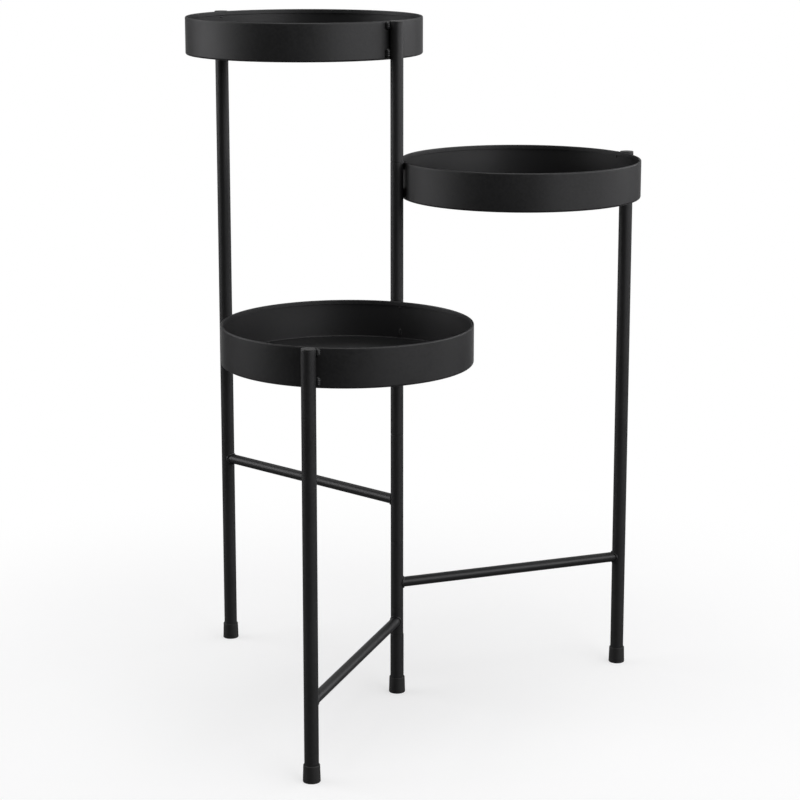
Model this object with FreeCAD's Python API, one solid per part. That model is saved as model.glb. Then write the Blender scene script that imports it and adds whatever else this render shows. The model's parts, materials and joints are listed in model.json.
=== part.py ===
import FreeCAD, Part
import math
import os

# Folding plant stand with three round trays. Origin at the centre of the column's foot, on the
# floor. +Z is up, and +Y runs from the low tray in front to the top tray at the back.
# Each wing is a tray, a leg, a crossbar and two lengths of sleeve tube that turn on a rod.
# All lengths are in mm and all angles in degrees, counted anticlockwise from +X seen from above.

# trays
tray_radius = 140.0
tray_height = 44.0
tray_sheet = 1.0
tray_corner = 2.0
hem_width = 2.0
hem_drop = 5.0

# tubes
leg_radius = 8.0
leg_wall = 1.2
base_wall = 1.75
sleeve_radius = 7.5
sleeve_wall = 1.25
bar_radius = 6.0
bar_wall = 1.0

# column
rod_play = 0.05
seam_gap = 0.6
washer_thickness = 0.5
washer_radius = 7.2
base_top = 73.0

# heights of the rims, which are also the tops of the legs, and of the crossbars' centre lines
lowest_rim = 480.0
tier_pitch = 161.0
middle_rim = lowest_rim + tier_pitch
top_rim = lowest_rim + 2 * tier_pitch
top_bar_height = 239.0
middle_bar_height = 137.0
low_bar_height = 90.0

# tops of the sleeves that carry the two lower crossbars
low_bar_sleeve_top = 106.0
middle_bar_sleeve_top = 188.0

# where the wings point when the stand is open, and how far each tray sits left of its wing's line
top_direction = 136.7
spread = 115.1
top_tray_shift = 2.8
middle_tray_shift = -19.0
low_tray_shift = -9.0

# end plugs and the screw under the column's plug
plug_head = 1.5
plug_edge = 0.7
plug_shank = 8.0
plug_wall = 1.2
push_play = 0.05
screw_radius = 3.0
screw_play = 0.05
screw_reach = 16.0
screw_head_radius = 5.0
screw_head_height = 6.0
hex_width = 5.0
hex_depth = 3.0
web_thickness = 2.5
web_hole_radius = 3.3
head_room = 0.5

# foot caps
foot_height = 20.0
foot_floor = 4.0
foot_bottom_radius = 9.8
foot_top_radius = 9.2
foot_shoulder = 2.0
foot_edge = 1.0

# welds: beads between wall and tube, and rings round the ends of the crossbars
bead_radius = 3.5
bead_sink = 0.8
bead_below_rim = 4.5
bead_above_floor = 7.5
ring_size = 1.4
ring_round = 1.0

# worked out
tray_reach = tray_radius + sleeve_radius
leg_reach = tray_reach + tray_radius + leg_radius
rod_radius = sleeve_radius - sleeve_wall - rod_play
rod_top = top_rim - plug_head - plug_shank - head_room - screw_head_height - web_thickness

up = FreeCAD.Vector(0, 0, 1)
shapes = {}


def at(point, z):
    """The plan point at height z."""
    return FreeCAD.Vector(point.x, point.y, z)


def heading(direction):
    """Unit vector in plan that points along a direction."""
    angle = math.radians(direction)
    return FreeCAD.Vector(math.cos(angle), math.sin(angle), 0)


def post(centre, radius, bottom, top):
    """Upright solid cylinder."""
    return Part.makeCylinder(radius, top - bottom, at(centre, bottom), up)


def tube(centre, radius, wall, bottom, top):
    """Upright round tube."""
    return post(centre, radius, bottom, top).cut(post(centre, radius - wall, bottom, top))


def turned(centre, bottom, edges):
    """Solid of revolution about an upright line, from edges drawn in the XZ plane."""
    profile = Part.Face(Part.Wire(edges))
    solid = profile.revolve(FreeCAD.Vector(0, 0, 0), up, 360)
    solid.translate(at(centre, bottom))
    return solid


def line(start, end):
    """Straight edge between two (radius, height) points."""
    return Part.makeLine(FreeCAD.Vector(start[0], 0, start[1]), FreeCAD.Vector(end[0], 0, end[1]))


def arc(start, middle, end):
    """Arc through three (radius, height) points."""
    points = [FreeCAD.Vector(x, 0, z) for x, z in (start, middle, end)]
    return Part.Arc(*points).toShape()


def corner_middle(centre, radius, angle):
    """Point on a round corner at an angle from the horizontal, as (radius, height)."""
    turn = math.radians(angle)
    return (centre[0] + radius * math.cos(turn), centre[1] + radius * math.sin(turn))


def tray(centre, rim):
    """Shallow pan of sheet metal. Its rim is folded inwards and pressed flat on the wall."""
    wall_inside = tray_radius - tray_sheet
    hem_inside = tray_radius - hem_width
    hem_round = hem_width / 2
    corner_inside = tray_corner - tray_sheet
    outer_corner = (tray_radius - tray_corner, tray_corner)
    rim_centre = (tray_radius - hem_round, tray_height - hem_round)
    outer_start = (tray_radius - tray_corner, 0)
    outer_end = (tray_radius, tray_corner)
    rim_start = (tray_radius, rim_centre[1])
    rim_end = (hem_inside, rim_centre[1])
    hem_foot = (hem_inside, tray_height - hem_drop)
    hem_back = (wall_inside, tray_height - hem_drop)
    inner_start = (wall_inside, tray_corner)
    inner_end = (wall_inside - corner_inside, tray_sheet)
    edges = [
        line((0, 0), outer_start),
        arc(outer_start, corner_middle(outer_corner, tray_corner, -45), outer_end),
        line(outer_end, rim_start),
        arc(rim_start, corner_middle(rim_centre, hem_round, 90), rim_end),
        line(rim_end, hem_foot),
        line(hem_foot, hem_back),
        line(hem_back, inner_start),
        arc(inner_start, corner_middle(outer_corner, corner_inside, -45), inner_end),
        line(inner_end, (0, tray_sheet)),
        line((0, tray_sheet), (0, 0)),
    ]
    return turned(centre, rim - tray_height, edges)


def foot_cap(centre, tube_radius):
    """Rubber cap with a flat sole, a slightly wider bottom and a rounded shoulder."""
    bore = tube_radius + push_play
    shoulder_base = foot_height - foot_shoulder
    shoulder_centre = (foot_top_radius - foot_shoulder, shoulder_base)
    sole_centre = (foot_bottom_radius - foot_edge, foot_edge)
    sole_start = (sole_centre[0], 0)
    sole_end = (foot_bottom_radius, foot_edge)
    shoulder_start = (foot_top_radius, shoulder_base)
    lip = (bore, shoulder_base + math.sqrt(foot_shoulder ** 2 - (bore - shoulder_centre[0]) ** 2))
    edges = [
        line((0, 0), sole_start),
        arc(sole_start, corner_middle(sole_centre, foot_edge, -45), sole_end),
        line(sole_end, shoulder_start),
        arc(shoulder_start, corner_middle(shoulder_centre, foot_shoulder, 30), lip),
        line(lip, (bore, foot_floor)),
        line((bore, foot_floor), (0, foot_floor)),
        line((0, foot_floor), (0, 0)),
    ]
    return turned(centre, 0, edges)


def end_plug(centre, tube_radius, wall, rim):
    """Plastic plug: a round-edged head as wide as the tube and a hollow shank inside it."""
    shank = tube_radius - wall - push_play
    edge_centre = (tube_radius - plug_edge, plug_shank + plug_head - plug_edge)
    side_top = (tube_radius, edge_centre[1])
    face_edge = (edge_centre[0], plug_shank + plug_head)
    edges = [
        line((shank - plug_wall, 0), (shank, 0)),
        line((shank, 0), (shank, plug_shank)),
        line((shank, plug_shank), (tube_radius, plug_shank)),
        line((tube_radius, plug_shank), side_top),
        arc(side_top, corner_middle(edge_centre, plug_edge, 45), face_edge),
        line(face_edge, (0, plug_shank + plug_head)),
        line((0, plug_shank + plug_head), (0, plug_shank)),
        line((0, plug_shank), (shank - plug_wall, plug_shank)),
        line((shank - plug_wall, plug_shank), (shank - plug_wall, 0)),
    ]
    return turned(centre, rim - plug_head - plug_shank, edges)


def crossbar(leg_centre, forward, height):
    """Round tube from the sleeve to the leg, both ends cut to the round of the tube they meet."""
    start = at(FreeCAD.Vector(0, 0, 0), height)
    solid = Part.makeCylinder(bar_radius, leg_reach, start, forward)
    hollow = Part.makeCylinder(bar_radius - bar_wall, leg_reach, start, forward)
    bottom = height - 2 * bar_radius
    top = height + 2 * bar_radius
    bar = solid.cut(hollow)
    bar = bar.cut(post(FreeCAD.Vector(0, 0, 0), sleeve_radius, bottom, top))
    return bar.cut(post(leg_centre, leg_radius, bottom, top))


def weld_ring(centre, tube_radius, direction, height):
    """Weld round the end of a crossbar that leaves an upright tube in a direction. It is shaped
    on the origin, along +X, and then turned and put in place."""
    origin = FreeCAD.Vector(0, 0, 0)
    along = FreeCAD.Vector(1, 0, 0)
    reach = tube_radius + ring_size
    around_bar = bar_radius + ring_size
    ring = Part.makeCylinder(around_bar, 2 * reach, origin, along)
    ring = ring.common(post(origin, reach, -2 * around_bar, 2 * around_bar))
    outer_rim = [edge for edge in ring.Edges if is_outer_rim(edge, reach)]
    ring = ring.makeFillet(ring_round, outer_rim)
    ring = ring.cut(Part.makeCylinder(bar_radius, 2 * reach, origin, along))
    ring = ring.cut(post(origin, tube_radius, -2 * around_bar, 2 * around_bar))
    ring.rotate(origin, up, direction)
    ring.translate(at(centre, height))
    return ring


def is_outer_rim(edge, reach):
    """True for the edge that runs along the outside of a weld ring."""
    middle = edge.valueAt((edge.FirstParameter + edge.LastParameter) / 2)
    return math.hypot(middle.x, middle.y) > reach - ring_size / 2 and middle.x > 0


def weld_bead(tube_centre, tube_radius, tray_centre, left, height):
    """Blob of weld in the groove between a tray's wall and a tube, on the wing's left side.
    It sinks equally far into both, so its centre is where two circles round them cross."""
    inward = tray_centre - tube_centre
    distance = inward.Length
    inward.normalize()
    side = up.cross(inward)
    if side.dot(left) < 0:
        side = side * -1
    from_tube = tube_radius + bead_radius - bead_sink
    from_tray = tray_radius + bead_radius - bead_sink
    depth = (distance ** 2 + from_tube ** 2 - from_tray ** 2) / (2 * distance)
    place = tube_centre + inward * depth + side * math.sqrt(from_tube ** 2 - depth ** 2)
    bottom = height - 2 * bead_radius
    top = height + 2 * bead_radius
    bead = Part.makeSphere(bead_radius, at(place, height))
    bead = bead.cut(post(tube_centre, tube_radius, bottom, top))
    return bead.cut(post(tray_centre, tray_radius, bottom, top))


def wing(name, direction, rim, bar_height, tray_shift):
    """Tray, leg, crossbar, plug, foot and welds of one wing."""
    forward = heading(direction)
    left = up.cross(forward)
    column = FreeCAD.Vector(0, 0, 0)
    leg_centre = forward * leg_reach
    tray_centre = forward * tray_reach + left * tray_shift
    leg_top = rim - plug_head
    tubes = [(column, sleeve_radius), (leg_centre, leg_radius)]
    bead_heights = [rim - bead_below_rim, rim - tray_height + bead_above_floor]
    welds = [weld_bead(c, r, tray_centre, left, z) for c, r in tubes for z in bead_heights]
    welds.append(weld_ring(column, sleeve_radius, direction, bar_height))
    welds.append(weld_ring(leg_centre, leg_radius, direction + 180, bar_height))
    shapes[name + "_tray"] = tray(tray_centre, rim)
    shapes[name + "_leg"] = tube(leg_centre, leg_radius, leg_wall, foot_floor, leg_top)
    shapes[name + "_leg_plug"] = end_plug(leg_centre, leg_radius, leg_wall, rim)
    shapes[name + "_leg_foot"] = foot_cap(leg_centre, leg_radius)
    shapes[name + "_crossbar"] = crossbar(leg_centre, forward, bar_height)
    shapes[name + "_welds"] = Part.makeCompound(welds)


def sleeves():
    """The lengths of tube that turn on the rod, from the floor up, and the washers between."""
    centre = FreeCAD.Vector(0, 0, 0)
    washers = []
    stack = [
        ("low_bar_sleeve", low_bar_sleeve_top),
        ("middle_bar_sleeve", middle_bar_sleeve_top),
        ("top_bar_sleeve", lowest_rim - tier_pitch),
        ("low_tray_sleeve", lowest_rim),
        ("middle_tray_sleeve", middle_rim),
        ("top_tray_sleeve", top_rim - plug_head),
    ]
    below = base_top
    washer_play = (seam_gap - washer_thickness) / 2
    for name, top in stack:
        shapes[name] = tube(centre, sleeve_radius, sleeve_wall, below + seam_gap, top)
        washer_bottom = below + washer_play
        washer_top = washer_bottom + washer_thickness
        washer_wall = washer_radius - rod_radius - rod_play
        washers.append(tube(centre, washer_radius, washer_wall, washer_bottom, washer_top))
        below = top
    web = tube(centre, sleeve_radius - sleeve_wall / 2, sleeve_radius - sleeve_wall / 2
               - web_hole_radius, rod_top, rod_top + web_thickness)
    shapes["top_tray_sleeve"] = shapes["top_tray_sleeve"].fuse(web).removeSplitter()
    shapes["swivel_washers"] = Part.makeCompound(washers)


def retaining_screw():
    """Cap screw with a hex socket, which holds the top sleeve down on the rod."""
    centre = FreeCAD.Vector(0, 0, 0)
    seat = rod_top + web_thickness
    head = post(centre, screw_head_radius, seat, seat + screw_head_height)
    socket_bottom = seat + screw_head_height - hex_depth
    corner = hex_width / math.sqrt(3)
    corners = [at(heading(60 * turn) * corner, socket_bottom) for turn in range(7)]
    socket = Part.Face(Part.makePolygon(corners)).extrude(up * hex_depth)
    shank = post(centre, screw_radius - screw_play, rod_top - screw_reach, seat)
    return head.fuse(shank).cut(socket).removeSplitter()


def column():
    """Rod, base tube, foot, screw and plug, which stay together with the top wing."""
    centre = FreeCAD.Vector(0, 0, 0)
    rod = post(centre, rod_radius, foot_floor, rod_top)
    thread = post(centre, screw_radius, rod_top - screw_reach - 2 * screw_radius, rod_top)
    shapes["pivot_rod"] = rod.cut(thread)
    shapes["base_tube"] = tube(centre, leg_radius, base_wall, foot_floor, base_top)
    shapes["column_foot"] = foot_cap(centre, leg_radius)
    shapes["column_plug"] = end_plug(centre, sleeve_radius, sleeve_wall, top_rim)
    shapes["retaining_screw"] = retaining_screw()


def main():
    column()
    sleeves()
    wing("top", top_direction, top_rim, top_bar_height, top_tray_shift)
    wing("middle", top_direction - spread, middle_rim, middle_bar_height, middle_tray_shift)
    wing("low", top_direction + spread, lowest_rim, low_bar_height, low_tray_shift)
    os.makedirs("parts", exist_ok=True)
    for name, shape in shapes.items():
        print(name, "valid" if shape.isValid() else "NOT VALID", len(shape.Solids), round(shape.Volume))
        shape.exportStep("parts/" + name + ".step")


main()
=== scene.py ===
import json
import math

import bmesh
import bpy
from mathutils import Matrix, Vector

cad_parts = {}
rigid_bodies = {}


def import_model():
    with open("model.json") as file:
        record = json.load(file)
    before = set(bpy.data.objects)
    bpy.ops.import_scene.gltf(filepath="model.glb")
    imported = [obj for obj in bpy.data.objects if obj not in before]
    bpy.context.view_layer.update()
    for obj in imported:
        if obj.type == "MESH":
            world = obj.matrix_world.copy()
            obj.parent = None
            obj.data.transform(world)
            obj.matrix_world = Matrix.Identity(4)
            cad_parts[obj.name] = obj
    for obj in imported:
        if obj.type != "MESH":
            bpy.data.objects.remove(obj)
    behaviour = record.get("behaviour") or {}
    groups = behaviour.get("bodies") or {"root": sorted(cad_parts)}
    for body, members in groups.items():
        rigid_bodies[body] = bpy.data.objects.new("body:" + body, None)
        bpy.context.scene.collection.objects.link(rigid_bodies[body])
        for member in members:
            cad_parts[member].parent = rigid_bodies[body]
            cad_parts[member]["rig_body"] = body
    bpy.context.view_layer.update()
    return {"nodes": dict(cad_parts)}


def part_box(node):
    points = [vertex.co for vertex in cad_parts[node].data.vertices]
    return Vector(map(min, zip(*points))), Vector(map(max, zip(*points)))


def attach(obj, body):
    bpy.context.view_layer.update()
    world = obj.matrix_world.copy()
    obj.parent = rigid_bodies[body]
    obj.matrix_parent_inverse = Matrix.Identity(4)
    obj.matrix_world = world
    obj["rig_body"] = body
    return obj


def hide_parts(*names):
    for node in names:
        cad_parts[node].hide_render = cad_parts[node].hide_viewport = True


# Black folding plant stand: three round trays on wings that swing about one upright column.
# Lengths are in metres, written as so many mm, and every place comes from the frame's own parts.

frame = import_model()
mm = 0.001
tiers = ("top", "middle", "low")


def openSocket(sockets, key):    # by its place, or by its name where that one is in use
    if isinstance(key, int):
        return sockets[key]
    return next(s for s in sockets if s.name == key and s.enabled)


def addNode(tree, kind, settings, sockets):
    node = tree.nodes.new(kind)
    for key, value in settings.items():
        setattr(node, key, value)
    for key, value in sockets.items():
        socket = openSocket(node.inputs, key)
        if isinstance(value, Wire):
            tree.links.new(value.socket, socket)
        else:
            socket.default_value = value
    return node


class Wire:    # a socket that takes part in sums
    def __init__(self, tree, socket):
        self.tree = tree
        self.socket = socket

    def sum(self, operation, *terms):
        node = self.tree.nodes.new("ShaderNodeMath")
        node.operation = operation
        for socket, term in zip(node.inputs, terms):
            if isinstance(term, Wire):
                self.tree.links.new(term.socket, socket)
            else:
                socket.default_value = term
        return Wire(self.tree, node.outputs[0])

    def __add__(self, other):
        return self.sum("ADD", self, other)

    def __radd__(self, other):
        return self.sum("ADD", other, self)

    def __sub__(self, other):
        return self.sum("SUBTRACT", self, other)

    def __rsub__(self, other):
        return self.sum("SUBTRACT", other, self)

    def __mul__(self, other):
        return self.sum("MULTIPLY", self, other)

    def __rmul__(self, other):
        return self.sum("MULTIPLY", other, self)

    def __truediv__(self, other):
        return self.sum("DIVIDE", self, other)

    def __pow__(self, other):
        return self.sum("POWER", self, other)

    def least(self, other):
        return self.sum("MINIMUM", self, other)

    def most(self, other):
        return self.sum("MAXIMUM", self, other)

    def sine(self):
        return self.sum("SINE", self)

    def size(self):
        return self.sum("ABSOLUTE", self)


class Sheet:    # a node tree that is being written, for a finish or for a shape
    def __init__(self, tree):
        self.tree = tree

    def node(self, kind, settings=None, places=None, **sockets):    # sockets by name, or by place
        named = {key.replace("_", " "): value for key, value in sockets.items()}
        return addNode(self.tree, kind, settings or {}, {**named, **(places or {})})

    def wire(self, kind, output, settings=None, places=None, **sockets):
        node = self.node(kind, settings, places, **sockets)
        return Wire(self.tree, openSocket(node.outputs, output))

    def noise(self, place, grain, detail=2.0, roughness=0.5):    # grain is the size of one blotch
        return self.wire("ShaderNodeTexNoise", "Fac", Vector=place, Scale=1 / grain,
                         Detail=detail, Roughness=roughness)

    def between(self, value, low, high):    # 0 up to low, 1 from high on
        return self.wire("ShaderNodeMapRange", "Result", {"interpolation_type": "SMOOTHSTEP"},
                         Value=value, From_Min=low, From_Max=high)

    def blend(self, share, one, other):    # of two colours
        return self.wire("ShaderNodeMix", "Result", {"data_type": "RGBA"}, Factor=share, A=one, B=other)


# finishes

def startFinish(name):
    material = bpy.data.materials.new(name)
    material.use_nodes = True
    material.node_tree.nodes.clear()
    return material, Sheet(material.node_tree)


def closeFinish(sheet, **surface):
    shader = sheet.wire("ShaderNodeBsdfPrincipled", "BSDF", **surface)
    sheet.node("ShaderNodeOutputMaterial", Surface=shader)


powderBlacks = {"deep": (0.0085, 0.0085, 0.0088, 1), "pale": (0.0125, 0.0125, 0.0130, 1),
                "worn": (0.0220, 0.0220, 0.0225, 1)}
powderCoats = {
    "trayCoat": {"gloss": 0.47, "peel": 3.2 * mm, "depth": 0.055 * mm},
    "tubeCoat": {"gloss": 0.47, "peel": 2.4 * mm, "depth": 0.060 * mm},
    "weldCoat": {"gloss": 0.42, "peel": 1.8 * mm, "depth": 0.030 * mm},
}
powderMix = {
    "swayGrain": 55 * mm, "sandGrain": 0.7 * mm, "speckFrom": 0.66, "speckTo": 0.76,
    "wearFrom": 0.50, "wearTo": 0.85, "swayWear": 0.40,
    "swayShade": 0.55, "sandShade": 0.45, "wornShade": 0.50, "speckShade": 0.20,
    "peelRise": 0.62, "sandRise": 0.30, "speckRise": 0.08, "bump": 0.55,
    "swayRough": 0.10, "sandRough": 0.08, "wornRough": 0.06,
}


def makePowderCoat(name):    # satin black powder: orange peel, a sandy grain and thinner, paler edges
    look = powderCoats[name]
    mix = powderMix
    material, sheet = startFinish(name)
    place = sheet.wire("ShaderNodeTexCoord", "Object")
    rub = sheet.wire("ShaderNodeAttribute", "Fac", {"attribute_name": "rub"})
    sway = sheet.noise(place, mix["swayGrain"])
    peel = sheet.noise(place, look["peel"])
    sand = sheet.noise(place, mix["sandGrain"], detail=3.0, roughness=0.6)
    specks = sheet.between(sand, mix["speckFrom"], mix["speckTo"])
    thin = rub * sheet.between(peel + mix["swayWear"] * sway, mix["wearFrom"], mix["wearTo"])
    shade = mix["swayShade"] * sway + mix["sandShade"] * sand
    cloudy = sheet.blend(shade, powderBlacks["deep"], powderBlacks["pale"])
    wear = mix["wornShade"] * thin + mix["speckShade"] * specks
    colour = sheet.blend(wear, cloudy, powderBlacks["worn"])
    height = mix["peelRise"] * peel + mix["sandRise"] * sand + mix["speckRise"] * specks
    bump = sheet.wire("ShaderNodeBump", "Normal", Height=height, Strength=mix["bump"],
                      Distance=look["depth"])
    grainRough = mix["swayRough"] * (sway - 0.5) + mix["sandRough"] * (sand - 0.5)
    rough = look["gloss"] + grainRough + mix["wornRough"] * thin
    closeFinish(sheet, Base_Color=colour, Roughness=rough, Normal=bump)
    return material


mouldedBlacks = {
    "plugPlastic": {"deep": (0.010, 0.010, 0.010, 1), "pale": (0.014, 0.014, 0.014, 1),
                    "gloss": 0.42, "grain": 0.45 * mm, "scuff": 0.10, "depth": 0.02 * mm},
    "footRubber": {"deep": (0.007, 0.007, 0.007, 1), "pale": (0.012, 0.012, 0.012, 1),
                   "gloss": 0.60, "grain": 0.60 * mm, "scuff": 0.55, "depth": 0.05 * mm},
    "washerNylon": {"deep": (0.012, 0.012, 0.012, 1), "pale": (0.016, 0.016, 0.016, 1),
                    "gloss": 0.50, "grain": 0.50 * mm, "scuff": 0.20, "depth": 0.02 * mm},
}
dust = (0.045, 0.043, 0.040, 1)
mouldedMix = {
    "cloudGrain": 9 * mm, "scratchGrain": 2.2 * mm, "scratchFrom": 0.58, "scratchTo": 0.72,
    "scratchDust": 0.25, "dustShade": 0.40, "scratchRise": 0.30, "bump": 0.50,
    "grainRough": 0.12, "dustRough": 0.15,
}


def makeMouldedBlack(name):    # black plastic or rubber, dustier where it rubs
    look = mouldedBlacks[name]
    mix = mouldedMix
    material, sheet = startFinish(name)
    place = sheet.wire("ShaderNodeTexCoord", "Object")
    rub = sheet.wire("ShaderNodeAttribute", "Fac", {"attribute_name": "rub"})
    grain = sheet.noise(place, look["grain"], detail=3.0, roughness=0.6)
    cloud = sheet.noise(place, mix["cloudGrain"], detail=3.0)
    marks = sheet.noise(place, mix["scratchGrain"], detail=4.0, roughness=0.7)
    scratch = sheet.between(marks, mix["scratchFrom"], mix["scratchTo"])
    dusty = look["scuff"] * (rub * cloud + mix["scratchDust"] * scratch)
    clean = sheet.blend(cloud, look["deep"], look["pale"])
    colour = sheet.blend(mix["dustShade"] * dusty, clean, dust)
    bump = sheet.wire("ShaderNodeBump", "Normal", Height=grain + mix["scratchRise"] * scratch,
                      Strength=mix["bump"], Distance=look["depth"])
    rough = look["gloss"] + mix["grainRough"] * (grain - 0.5) + mix["dustRough"] * dusty
    closeFinish(sheet, Base_Color=colour, Roughness=rough, Normal=bump)
    return material


platedSteels = {
    "rodSteel": {"deep": (0.40, 0.40, 0.41, 1), "pale": (0.56, 0.56, 0.57, 1),
                 "gloss": 0.30, "draw": 40.0},
    "screwSteel": {"deep": (0.36, 0.36, 0.37, 1), "pale": (0.52, 0.52, 0.53, 1),
                   "gloss": 0.34, "draw": 6.0},
}
platedMix = {
    "lineGrain": 25 * mm, "bloomGrain": 4 * mm, "lineShade": 0.50, "bloomShade": 0.50,
    "bump": 0.30, "depth": 0.02 * mm, "lineRough": 0.14, "bloomRough": 0.10,
}


def makePlatedSteel(name):    # zinc-plated steel with lines drawn along it
    look = platedSteels[name]
    mix = platedMix
    material, sheet = startFinish(name)
    place = sheet.wire("ShaderNodeTexCoord", "Object")
    drawn = sheet.wire("ShaderNodeMapping", "Vector", Vector=place,
                       Scale=(look["draw"], look["draw"], 1.0))
    lines = sheet.noise(drawn, mix["lineGrain"], detail=4.0, roughness=0.6)
    bloom = sheet.noise(place, mix["bloomGrain"], detail=3.0)
    shade = mix["lineShade"] * lines + mix["bloomShade"] * bloom
    colour = sheet.blend(shade, look["deep"], look["pale"])
    bump = sheet.wire("ShaderNodeBump", "Normal", Height=lines, Strength=mix["bump"],
                      Distance=mix["depth"])
    rough = look["gloss"] + mix["lineRough"] * (lines - 0.5) + mix["bloomRough"] * (bloom - 0.5)
    closeFinish(sheet, Base_Color=colour, Roughness=rough, Normal=bump, Metallic=1.0)
    return material


finishes = {name: makePowderCoat(name) for name in powderCoats}
finishes.update({name: makeMouldedBlack(name) for name in mouldedBlacks})
finishes.update({name: makePlatedSteel(name) for name in platedSteels})
print("finishes", len(finishes))


# shapes that grow from a tree

inputKinds = {"Int": "NodeSocketInt", "Float": "NodeSocketFloat", "Vector": "NodeSocketVector",
              "Material": "NodeSocketMaterial"}


def startShape(name, inputs):    # inputs: what the tree asks for, and of which kind
    tree = bpy.data.node_groups.new(name, "GeometryNodeTree")
    tree.interface.new_socket("Geometry", in_out="INPUT", socket_type="NodeSocketGeometry")
    tree.interface.new_socket("Geometry", in_out="OUTPUT", socket_type="NodeSocketGeometry")
    for label, kind in inputs.items():
        tree.interface.new_socket(label, in_out="INPUT", socket_type=inputKinds[kind])
    entry = tree.nodes.new("NodeGroupInput")
    return Sheet(tree), {s.name: Wire(tree, s) for s in entry.outputs if s.name}


def closeShape(sheet, geometry, material):
    smooth = sheet.wire("GeometryNodeSetShadeSmooth", "Geometry", Geometry=geometry, Shade_Smooth=True)
    real = sheet.wire("GeometryNodeRealizeInstances", "Geometry", Geometry=smooth)
    painted = sheet.wire("GeometryNodeSetMaterial", "Geometry", Geometry=real, Material=material)
    sheet.node("NodeGroupOutput", Geometry=painted)
    return sheet.tree


def growMesh(name, seedMesh, tree, values):    # runs the tree on the seed and gives a plain mesh
    seed = bpy.data.objects.new(name + "Seed", seedMesh)
    bpy.context.scene.collection.objects.link(seed)
    modifier = seed.modifiers.new("grow", "NODES")
    modifier.node_group = tree
    for item in tree.interface.items_tree:
        if item.item_type == "SOCKET" and item.in_out == "INPUT" and item.name in values:
            modifier[item.identifier] = values[item.name]
    view = bpy.context.evaluated_depsgraph_get()
    mesh = bpy.data.meshes.new_from_object(seed.evaluated_get(view))
    bpy.data.objects.remove(seed)
    mesh.name = name
    return closedUp(mesh)


meshCare = {"merge": 0.002 * mm, "sliver": 0.0005 * mm, "sharpFrom": 35}


def closedUp(mesh):    # doubles merged, every face outwards, and corners kept crisp
    work = bmesh.new()
    work.from_mesh(mesh)
    bmesh.ops.remove_doubles(work, verts=work.verts, dist=meshCare["merge"])
    bmesh.ops.dissolve_degenerate(work, edges=work.edges, dist=meshCare["sliver"])
    bmesh.ops.recalc_face_normals(work, faces=work.faces)
    if work.calc_volume(signed=True) < 0:
        bmesh.ops.reverse_faces(work, faces=work.faces)
    for face in work.faces:
        face.smooth = True
    work.to_mesh(mesh)
    work.free()
    mesh.set_sharp_from_angle(angle=math.radians(meshCare["sharpFrom"]))    # rounds have finer steps
    return mesh


def lineMesh(name, lines, values):    # lines of (points, closed), with one list per attribute
    points, edges = [], []
    for line, closed in lines:
        first = len(points)
        points += [tuple(p) for p in line]
        edges += [(first + i, first + i + 1) for i in range(len(line) - 1)]
        if closed:
            edges.append((len(points) - 1, first))
    mesh = bpy.data.meshes.new(name)
    mesh.from_pydata(points, edges, [])
    for key, numbers in values.items():
        mesh.attributes.new(key, "FLOAT", "POINT").data.foreach_set("value", numbers)
    return mesh


def dress(name, mesh, node):    # the new piece stands for that node
    piece = bpy.data.objects.new(name, mesh)
    bpy.context.scene.collection.objects.link(piece)
    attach(piece, frame["nodes"][node]["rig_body"])
    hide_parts(node)


def roundPlace(node):    # centre line, radius and ends of an upright round part
    low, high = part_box(node)
    return {
        "centre": Vector(((low.x + high.x) / 2, (low.y + high.y) / 2, 0)),
        "radius": (high.x - low.x) / 2,
        "bottom": low.z,
        "top": high.z,
    }


def makeTurningTree():    # turns an outline in the XZ plane about an upright line
    asks = {"Reach": "Float", "Steps": "Int", "Centre": "Vector", "Finish": "Material"}
    sheet, given = startShape("turnedShape", asks)
    outline = sheet.wire("GeometryNodeMeshToCurve", "Curve", Mesh=given["Geometry"])
    aside = sheet.wire("ShaderNodeCombineXYZ", "Vector", X=0 - given["Reach"])
    inward = sheet.wire("GeometryNodeTransform", "Geometry", Geometry=outline, Translation=aside)
    flat = sheet.wire("GeometryNodeTransform", "Geometry", Geometry=inward,
                      Rotation=(math.pi / 2, 0, 0))
    ring = sheet.wire("GeometryNodeCurvePrimitiveCircle", "Curve", Resolution=given["Steps"],
                      Radius=given["Reach"])
    turned = sheet.wire("GeometryNodeCurveToMesh", "Mesh", Curve=ring, Profile_Curve=flat)
    placed = sheet.wire("GeometryNodeTransform", "Geometry", Geometry=turned,
                        Translation=given["Centre"])
    return closeShape(sheet, placed, given["Finish"])


turningTree = makeTurningTree()
outlineSizes = {"arcSteps": 6, "hold": 0.3 * mm, "shortest": 0.02 * mm}    # hold: flat run by a round


def roundedOutline(corners):    # corners: (radius, height, bend, rub)
    points, rubs = [], []
    for i, (radius, height, bend, rub) in enumerate(corners):
        here = Vector((radius, height))
        if bend == 0:
            points.append(here)
            rubs.append(rub)
            continue
        runs = [Vector(corners[k % len(corners)][:2]) - here for k in (i - 1, i + 1)]
        half = runs[0].angle(runs[1]) / 2
        setback = bend / math.tan(half)
        inward = (runs[0].normalized() + runs[1].normalized()).normalized()
        middle = here + inward * bend / math.sin(half)
        ends = [here + run.normalized() * setback for run in runs]
        holds = [min(outlineSizes["hold"], (run.length - setback) / 3) for run in runs]
        turn = (ends[0] - middle).angle_signed(ends[1] - middle)
        steps = outlineSizes["arcSteps"]
        start = ends[0] - middle
        arc = [middle + Matrix.Rotation(-turn * k / steps, 2) @ start for k in range(steps + 1)]
        if holds[0] > outlineSizes["shortest"]:
            arc.insert(0, ends[0] + runs[0].normalized() * holds[0])
        if holds[1] > outlineSizes["shortest"]:
            arc.append(ends[1] + runs[1].normalized() * holds[1])
        points += arc
        rubs += [rub] * len(arc)
    return [(p.x, 0, p.y) for p in points], rubs


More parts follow.
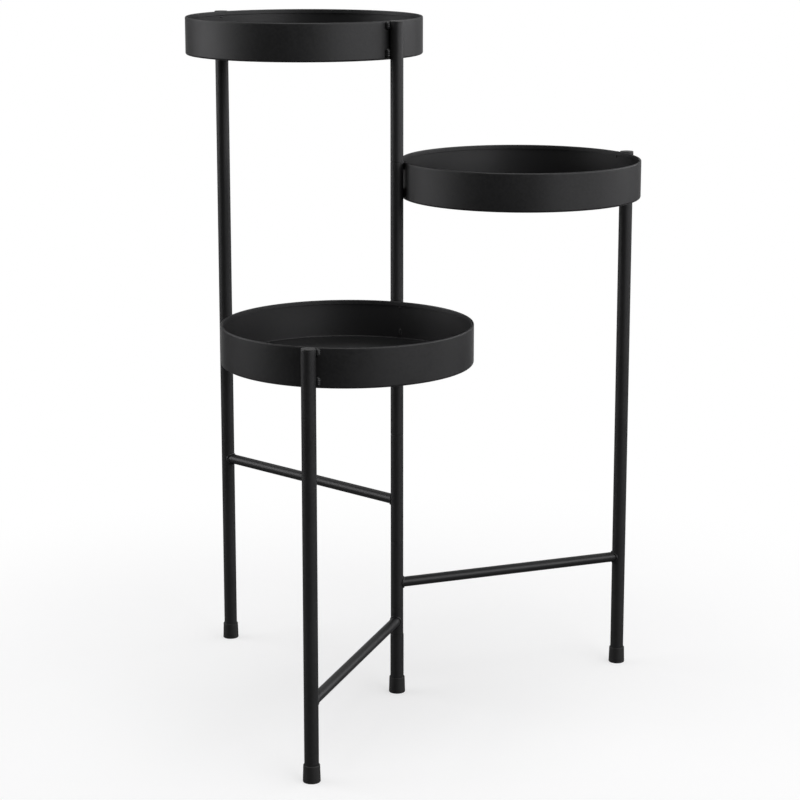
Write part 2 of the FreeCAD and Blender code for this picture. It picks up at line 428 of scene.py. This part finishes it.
def turnPiece(name, corners, closed, place, steps, finish, node):
    points, rubs = roundedOutline(corners)
    outline = lineMesh(name + "Outline", [(points, closed)], {"rub": rubs})
    values = {
        "Reach": place["radius"],
        "Steps": steps,
        "Centre": (place["centre"].x, place["centre"].y, place["bottom"]),
        "Finish": finishes[finish],
    }
    dress(name, growMesh(name, outline, turningTree, values), node)


# trays

traySizes = {"sheet": 1.0 * mm, "hemWidth": 2.6 * mm, "hemDrop": 5.0 * mm, "corner": 2.0 * mm,
             "outerRound": 1.6 * mm, "innerRound": 0.95 * mm, "hemCut": 0.3 * mm, "steps": 216}


def makeTray(tier):    # pan of sheet steel, its rim folded inwards and pressed flat
    s = traySizes
    place = roundPlace(tier + "_tray")
    wall = place["radius"]
    height = place["top"] - place["bottom"]
    inside = wall - s["sheet"]
    hem = wall - s["hemWidth"]
    corners = [
        (0, 0, 0, 0),
        (wall, 0, s["corner"], 0.5),
        (wall, height, s["outerRound"], 1.0),
        (hem, height, s["innerRound"], 1.0),
        (hem, height - s["hemDrop"], s["hemCut"], 0.6),
        (inside, height - s["hemDrop"], 0, 0),
        (inside, s["sheet"], s["corner"] - s["sheet"], 0),
        (0, s["sheet"], 0, 0),
    ]
    turnPiece(tier + "TrayPan", corners, False, place, s["steps"], "trayCoat", tier + "_tray")


for tier in tiers:
    makeTray(tier)
print("trays done")


# upright tubes

tubeSizes = {"legWall": 1.2 * mm, "baseWall": 1.75 * mm, "sleeveWall": 1.25 * mm, "endRound": 0.35 * mm,
             "steps": 64}


def makeTube(name, node, wall):    # length of tube with its cut ends eased
    place = roundPlace(node)
    outer = place["radius"]
    length = place["top"] - place["bottom"]
    ease = tubeSizes["endRound"]
    corners = [(outer, 0, ease, 0.7), (outer, length, ease, 0.7),
               (outer - wall, length, ease, 0), (outer - wall, 0, ease, 0)]
    turnPiece(name, corners, True, place, tubeSizes["steps"], "tubeCoat", node)


makeTube("columnBase", "base_tube", tubeSizes["baseWall"])
for tier in tiers:
    makeTube(tier + "Leg", tier + "_leg", tubeSizes["legWall"])
    makeTube(tier + "BarSleeve", tier + "_bar_sleeve", tubeSizes["sleeveWall"])
    makeTube(tier + "TraySleeve", tier + "_tray_sleeve", tubeSizes["sleeveWall"])
print("tubes done")


# crossbars

barSizes = {"wall": 1.0 * mm, "steps": 40, "holdIn": 1.5 * mm}


def barSpan(tier):    # from the column's middle to the leg's, at the bar's height
    low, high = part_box(tier + "_crossbar")
    leg = roundPlace(tier + "_leg")
    return {
        "forward": leg["centre"].normalized(),
        "reach": leg["centre"].length,
        "height": (low.z + high.z) / 2,
        "radius": (high.z - low.z) / 2,
        "sleeveRadius": roundPlace(tier + "_bar_sleeve")["radius"],
        "legRadius": leg["radius"],
    }


def saddlePoint(span, atLeg, radius, angle, proud=0.0):    # where a line along the bar meets the upright
    across = radius * math.cos(angle)
    rise = radius * math.sin(angle)
    upright = span["legRadius" if atLeg else "sleeveRadius"] + proud
    out = math.sqrt(upright ** 2 - across ** 2)
    along = span["reach"] - out if atLeg else out
    side = Vector((0, 0, 1)).cross(span["forward"])
    return span["forward"] * along + side * across + Vector((0, 0, span["height"] + rise))


def makeCrossbar(tier):    # thin tube with both ends cut to the round of the upright it meets
    span = barSpan(tier)
    inner = span["radius"] - barSizes["wall"]
    hold = span["forward"] * barSizes["holdIn"]
    angles = [2 * math.pi * k / barSizes["steps"] for k in range(barSizes["steps"])]
    rings = []
    for radius, order in ((span["radius"], 1), (inner, -1)):
        start = [saddlePoint(span, False, radius, a) for a in angles]
        end = [saddlePoint(span, True, radius, a) for a in angles]
        run = [start, [p + hold for p in start], [p - hold for p in end], end]
        rings += run[::order]
    work = bmesh.new()
    loops = [[work.verts.new(p) for p in ring] for ring in rings]
    for here, there in zip(loops, loops[1:] + loops[:1]):
        for k in range(len(angles)):
            nextK = (k + 1) % len(angles)
            work.faces.new((here[k], here[nextK], there[nextK], there[k]))
    mesh = bpy.data.meshes.new(tier + "Crossbar")
    work.to_mesh(mesh)
    work.free()
    mesh.materials.append(finishes["tubeCoat"])
    dress(tier + "Crossbar", closedUp(mesh), tier + "_crossbar")


for tier in tiers:
    makeCrossbar(tier)
print("crossbars done")


# foot caps

footSizes = {
    "topShare": 9.2 / 9.8, "shoulder": 1.1 * mm, "lipRound": 0.3 * mm, "soleRound": 1.0 * mm,
    "floor": 4.0 * mm, "play": 0.05 * mm, "padRadius": 5.5 * mm, "padRecess": 0.4 * mm, "steps": 64,
    "grooves": (2.6 * mm, 4.4 * mm), "grooveWidth": 0.6 * mm, "grooveDepth": 0.3 * mm,
    "grooveEase": 0.05 * mm, "grooveShape": ((0, 0, 0.6), (0.2, 1, 0), (0.8, 1, 0), (1, 0, 0.6)),
}


def makeFoot(name, node, tubeNode):    # rubber cap: flared skirt, two fine grooves and a hollow sole
    s = footSizes
    place = roundPlace(node)
    height = place["top"] - place["bottom"]
    wide = place["radius"]
    narrow = wide * s["topShare"]
    bore = roundPlace(tubeNode)["radius"] + s["play"]
    corners = [(0, s["padRecess"], 0, 0.4), (s["padRadius"], s["padRecess"], s["padRecess"] / 3, 0.4),
               (s["padRadius"], 0, s["padRecess"] / 3, 1.0), (wide, 0, s["soleRound"], 1.0)]
    for low in s["grooves"]:
        for lift, deep, rub in s["grooveShape"]:    # shares of its width and depth, and the rub there
            rise = low + lift * s["grooveWidth"]
            edge = wide + (narrow - wide) * rise / height
            corners.append((edge - deep * s["grooveDepth"], rise, s["grooveEase"], rub))
    corners += [(narrow, height, s["shoulder"], 0.6), (bore, height, s["lipRound"] / 2, 0.3),
                (bore, s["floor"], s["lipRound"], 0), (0, s["floor"], 0, 0)]
    turnPiece(name, corners, False, place, s["steps"], "footRubber", node)


makeFoot("columnFootCap", "column_foot", "base_tube")
for tier in tiers:
    makeFoot(tier + "LegFootCap", tier + "_leg_foot", tier + "_leg")
print("foot caps done")


# end plugs

plugSizes = {"head": 1.5 * mm, "edge": 0.7 * mm, "headEase": 0.1 * mm, "shankWall": 1.2 * mm,
             "shankEdge": 0.2 * mm, "play": 0.05 * mm, "gateRadius": 1.0 * mm, "gateTaper": 0.9,
             "gateDepth": 0.12 * mm, "steps": 64}


def makePlug(name, node, wall):    # flush cap with a soft edge, its shank inside the tube
    s = plugSizes
    place = roundPlace(node)
    height = place["top"] - place["bottom"]
    seat = height - s["head"]
    wide = place["radius"]
    shank = wide - wall - s["play"]
    hollow = shank - s["shankWall"]
    corners = [
        (0, seat, 0, 0),
        (hollow, seat, s["shankEdge"], 0),
        (hollow, 0, s["shankEdge"], 0),
        (shank, 0, s["shankEdge"], 0),
        (shank, seat, 0, 0),
        (wide, seat, s["headEase"], 0),
        (wide, height, s["edge"], 0.8),
        (s["gateRadius"], height, s["gateDepth"] / 2, 0.2),
        (s["gateRadius"] * s["gateTaper"], height - s["gateDepth"], s["gateDepth"] / 3, 0),
        (0, height - s["gateDepth"], 0, 0),
    ]
    turnPiece(name, corners, False, place, s["steps"], "plugPlastic", node)


makePlug("columnPlug", "column_plug", tubeSizes["sleeveWall"])
for tier in tiers:
    makePlug(tier + "LegPlug", tier + "_leg_plug", tubeSizes["legWall"])
print("plugs done")


# washers between the sleeves

washerSizes = {"radius": 7.2 * mm, "thickness": 0.5 * mm, "hole": 6.25 * mm, "easeShare": 0.3,
               "easeSteps": 3, "steps": 64}


def makeWasherTree():    # the same thin ring at each point of the seed
    asks = {"Radius": "Float", "Hole": "Float", "Thickness": "Float", "Steps": "Int",
            "Finish": "Material"}
    sheet, given = startShape("washerStack", asks)
    middle = (given["Radius"] + given["Hole"]) / 2
    width = given["Radius"] - given["Hole"]
    section = sheet.wire("GeometryNodeCurvePrimitiveQuadrilateral", "Curve", Width=width,
                         Height=given["Thickness"])
    eased = sheet.wire("GeometryNodeFilletCurve", "Curve", {"mode": "POLY"}, Curve=section,
                       Count=washerSizes["easeSteps"],
                       Radius=given["Thickness"] * washerSizes["easeShare"])
    ring = sheet.wire("GeometryNodeCurvePrimitiveCircle", "Curve", Resolution=given["Steps"],
                      Radius=middle)
    washer = sheet.wire("GeometryNodeCurveToMesh", "Mesh", Curve=ring, Profile_Curve=eased)
    stack = sheet.wire("GeometryNodeInstanceOnPoints", "Instances", Points=given["Geometry"],
                       Instance=washer)
    return closeShape(sheet, stack, given["Finish"])


def gapHeights():    # the middle of each gap between two lengths of the column
    sleeves = [tier + kind for kind in ("_bar_sleeve", "_tray_sleeve") for tier in tiers[::-1]]
    places = [roundPlace(node) for node in ["base_tube"] + sleeves]
    return [(below["top"] + above["bottom"]) / 2 for below, above in zip(places, places[1:])]


def makeWashers():
    seed = lineMesh("washerSeed", [([(0, 0, z)], False) for z in gapHeights()], {})
    values = {"Radius": washerSizes["radius"], "Hole": washerSizes["hole"],
              "Thickness": washerSizes["thickness"], "Steps": washerSizes["steps"],
              "Finish": finishes["washerNylon"]}
    mesh = growMesh("swivelWashers", seed, makeWasherTree(), values)
    dress("swivelWashers", mesh, "swivel_washers")


makeWashers()
print("washers done")


# welds

weldSizes = {
    "beadRadius": 3.2 * mm, "tubeSink": 0.4 * mm, "wallSink": 1.8 * mm, "upperDrop": 5.1 * mm,
    "upperLength": 3.0 * mm, "lowerRise": 7.5 * mm, "lowerLength": 5.0 * mm, "beadPitch": 2.1 * mm,
    "ringRadius": 1.25 * mm, "ringProud": 0.35 * mm, "ringPitch": 1.7 * mm, "ringPoints": 96,
    "rippleDepth": 0.07, "wander": 0.10, "wanderGrain": 3 * mm, "finestEnd": 0.02,
    "spacing": 0.22 * mm, "sides": 14,
}


def makeWeldTree():    # a round bead along each line, rippled as a weld sets, with round ends
    asks = {"Ripple Depth": "Float", "Wander": "Float", "Spacing": "Float", "Sides": "Int",
            "Seed": "Float", "Finish": "Material"}
    sheet, given = startShape("rippledBead", asks)
    path = sheet.wire("GeometryNodeMeshToCurve", "Curve", Mesh=given["Geometry"])
    fine = sheet.wire("GeometryNodeResampleCurve", "Curve", {"mode": "LENGTH"}, Curve=path,
                      Length=given["Spacing"])
    thick, pitch, blunt = (
        sheet.wire("GeometryNodeInputNamedAttribute", "Attribute", {"data_type": "FLOAT"}, Name=key)
        for key in ("thick", "pitch", "blunt"))
    run = sheet.wire("GeometryNodeSplineParameter", "Length")
    whole = sheet.wire("GeometryNodeSplineLength", "Length")
    fromEnd = (run.least(whole - run) / thick).least(1.0).most(weldSizes["finestEnd"])
    rounded = (1 - (1 - fromEnd) ** 2.0) ** 0.5
    taper = rounded.most(blunt)
    ripple = 1 - given["Ripple Depth"] * (1 - (run / pitch * math.pi).sine().size())
    place = sheet.wire("GeometryNodeInputPosition", "Position")
    drift = sheet.wire("ShaderNodeTexNoise", "Fac", {"noise_dimensions": "4D"}, Vector=place,
                       W=given["Seed"], Scale=1 / weldSizes["wanderGrain"], Detail=1.0)
    scale = thick * taper * ripple * (1 + given["Wander"] * (drift - 0.5) * 2)
    ring = sheet.wire("GeometryNodeCurvePrimitiveCircle", "Curve", Resolution=given["Sides"],
                      Radius=1.0)
    bead = sheet.wire("GeometryNodeCurveToMesh", "Mesh", Curve=fine, Profile_Curve=ring, Scale=scale,
                      Fill_Caps=True)
    return closeShape(sheet, bead, given["Finish"])


def grooveSpot(tube, tray, left):    # in the groove between tube and tray, on the wing's left
    inward = tray["centre"] - tube["centre"]
    apart = inward.length
    inward.normalize()
    side = Vector((0, 0, 1)).cross(inward)
    if side.dot(left) < 0:
        side.negate()
    fromTube = tube["radius"] + weldSizes["beadRadius"] - weldSizes["tubeSink"]
    fromTray = tray["radius"] + weldSizes["beadRadius"] - weldSizes["wallSink"]
    depth = (apart ** 2 + fromTube ** 2 - fromTray ** 2) / (2 * apart)
    return tube["centre"] + inward * depth + side * math.sqrt(fromTube ** 2 - depth ** 2)


def weldLines(tier):    # every weld of one wing: four beads on the tray's wall and two round the bar
    s = weldSizes
    span = barSpan(tier)
    tray = roundPlace(tier + "_tray")
    left = Vector((0, 0, 1)).cross(span["forward"])
    lines = []
    for node in (tier + "_tray_sleeve", tier + "_leg"):
        spot = grooveSpot(roundPlace(node), tray, left)
        for z, length in ((tray["top"] - s["upperDrop"], s["upperLength"]),
                          (tray["bottom"] + s["lowerRise"], s["lowerLength"])):
            ends = [z - length / 2 - s["beadRadius"], z + length / 2 + s["beadRadius"]]
            points = [spot + Vector((0, 0, end)) for end in ends]
            lines.append({"points": points, "thick": s["beadRadius"], "pitch": s["beadPitch"],
                          "blunt": 0.0})
    turns = [2 * math.pi * k / s["ringPoints"] for k in range(s["ringPoints"])]
    ringReach = span["radius"] + s["ringProud"]
    for atLeg in (False, True):
        points = [saddlePoint(span, atLeg, ringReach, angle, s["ringProud"]) for angle in turns]
        lines.append({"points": points, "thick": s["ringRadius"], "pitch": s["ringPitch"],
                      "blunt": 1.0})
    return lines


def makeWelds(tier, seed):    # a blunt line has no ends, so it is closed
    lines = weldLines(tier)
    values = {key: [line[key] for line in lines for point in line["points"]]
              for key in ("thick", "pitch", "blunt")}
    runs = [(line["points"], line["blunt"] > 0) for line in lines]
    paths = lineMesh(tier + "WeldPaths", runs, values)
    asked = {"Ripple Depth": weldSizes["rippleDepth"], "Wander": weldSizes["wander"],
             "Spacing": weldSizes["spacing"], "Sides": weldSizes["sides"], "Seed": float(seed),
             "Finish": finishes["weldCoat"]}
    mesh = growMesh(tier + "Welds", paths, weldTree, asked)
    dress(tier + "Welds", mesh, tier + "_welds")


weldTree = makeWeldTree()
for seed, tier in enumerate(tiers, 1):
    makeWelds(tier, seed)
print("welds done")


# the two parts that stay hidden in the column keep their own shape

for node, finish in (("pivot_rod", "rodSteel"), ("retaining_screw", "screwSteel")):
    materials = frame["nodes"][node].data.materials
    materials.clear()
    materials.append(finishes[finish])


# studio

studio = {
    "floorRadius": 1.10, "floorSides": 96, "floorTone": 0.16, "shadowTone": 0.42,
    "floorClear": 0.45, "floorFade": 0.95,
    "worldLevel": 0.05, "backdropAt": (0.0, 0.98, -0.20), "backdropEdge": (0.85, 0.97),
    "aim": (0.02, 0.0, 0.45), "cool": (0.985, 0.980, 1.0), "neutral": (1.0, 1.0, 1.0),
}
lamps = {    # at level 1 a box is as bright as the white backdrop
    "leftBox": {"at": (-4.80, 0.60, 1.70), "size": (4.4, 2.6), "level": 3.4, "tint": "cool"},
    "rightBox": {"at": (3.50, -3.25, 2.00), "size": (4.4, 2.2), "level": 4.0, "tint": "cool"},
    "sideBox": {"at": (4.75, 1.10, 1.70), "size": (5.6, 2.6), "level": 2.8, "tint": "cool"},
    "backBox": {"at": (0.0, 3.60, 3.90), "size": (8.0, 2.9), "level": 0.8, "tint": "neutral"},
    "overhead": {"at": (0.0, -0.85, 5.40), "size": (4.0, 4.0), "level": 2.5, "tint": "neutral"},
}


def rayKinds(sheet):    # seen: 1 for a ray from the lens or let through; mirrored: 1 for a reflection
    rays = sheet.node("ShaderNodeLightPath")
    camera, mirrored, through = [Wire(sheet.tree, rays.outputs[name]) for name in
                                 ("Is Camera Ray", "Is Glossy Ray", "Is Transmission Ray")]
    return {"seen": camera.most(through), "mirrored": mirrored}


def makeFloor():    # white with a soft shadow where it is seen, and dim in the black paint
    material, sheet = startFinish("paleFloor")
    place = sheet.wire("ShaderNodeTexCoord", "Object")
    away = sheet.wire("ShaderNodeVectorMath", "Value", {"operation": "LENGTH"}, Vector=place)
    seen = rayKinds(sheet)["seen"]
    clear = sheet.between(away, studio["floorClear"], studio["floorFade"])
    fade = seen * (1 - studio["shadowTone"] * (1 - clear))
    tone = sheet.blend(seen.most(studio["floorTone"]), (0, 0, 0, 1), (1, 1, 1, 1))
    matt = sheet.wire("ShaderNodeBsdfDiffuse", "BSDF", Color=tone)
    white = sheet.wire("ShaderNodeEmission", "Emission", Strength=1.0)
    both = sheet.wire("ShaderNodeMixShader", "Shader", None, {1: matt, 2: white}, Fac=fade)
    sheet.node("ShaderNodeOutputMaterial", Surface=both)
    work = bmesh.new()
    bmesh.ops.create_circle(work, cap_ends=True, segments=studio["floorSides"],
                            radius=studio["floorRadius"])
    mesh = bpy.data.meshes.new("studioFloor")
    work.to_mesh(mesh)
    work.free()
    mesh.materials.append(material)
    floor = bpy.data.objects.new("studioFloor", mesh)
    bpy.context.scene.collection.objects.link(floor)


def makeWorld():    # white where it is seen and, in mirrored light, behind the stand; dim elsewhere
    world = bpy.data.worlds.new("studio")
    world.use_nodes = True
    world.node_tree.nodes.clear()
    sheet = Sheet(world.node_tree)
    rays = rayKinds(sheet)
    way = sheet.wire("ShaderNodeTexCoord", "Generated")
    back = Vector(studio["backdropAt"]).normalized()
    facing = sheet.wire("ShaderNodeVectorMath", "Value", {"operation": "DOT_PRODUCT"},
                        {0: way, 1: back})
    backdrop = sheet.between(facing, *studio["backdropEdge"])
    level = rays["seen"].most(rays["mirrored"] * backdrop).most(studio["worldLevel"])
    light = sheet.wire("ShaderNodeBackground", "Background", Color=(1, 1, 1, 1), Strength=level)
    sheet.node("ShaderNodeOutputWorld", Surface=light)
    bpy.context.scene.world = world


def makeLamp(name):
    look = lamps[name]
    lamp = bpy.data.lights.new(name, "AREA")
    lamp.shape = "RECTANGLE"
    lamp.size, lamp.size_y = look["size"]
    lamp.energy = math.pi * lamp.size * lamp.size_y * look["level"]
    lamp.color = studio[look["tint"]]
    thing = bpy.data.objects.new(name, lamp)
    thing.location = look["at"]
    ahead = Vector(studio["aim"]) - Vector(look["at"])
    thing.rotation_euler = ahead.to_track_quat("-Z", "Y").to_euler()
    bpy.context.scene.collection.objects.link(thing)


cameraSizes = {"at": (3.578 * mm, -2618.4 * mm, 961.65 * mm), "dip": 11.876, "focalPixels": 2286.8,
               "axisRow": 357.98, "frameWidth": 800, "frameHeight": 800, "sensor": 36.0,
               "nearest": 0.05, "farthest": 50}


def makeCamera():    # looks along +Y and a little down, from in front of the low tray
    s = cameraSizes
    data = bpy.data.cameras.new("camera")
    data.sensor_width = s["sensor"]
    data.lens = s["focalPixels"] / s["frameWidth"] * s["sensor"]
    data.shift_y = (s["axisRow"] - s["frameHeight"] / 2) / s["frameWidth"]
    data.clip_start = s["nearest"]
    data.clip_end = s["farthest"]
    camera = bpy.data.objects.new("camera", data)
    camera.location = s["at"]
    camera.rotation_euler = (math.radians(90 - s["dip"]), 0, 0)
    bpy.context.scene.collection.objects.link(camera)
    bpy.context.scene.camera = camera


makeFloor()
makeWorld()
for name in lamps:
    makeLamp(name)
makeCamera()
bpy.context.scene.view_settings.view_transform = "Standard"
print("studio done")
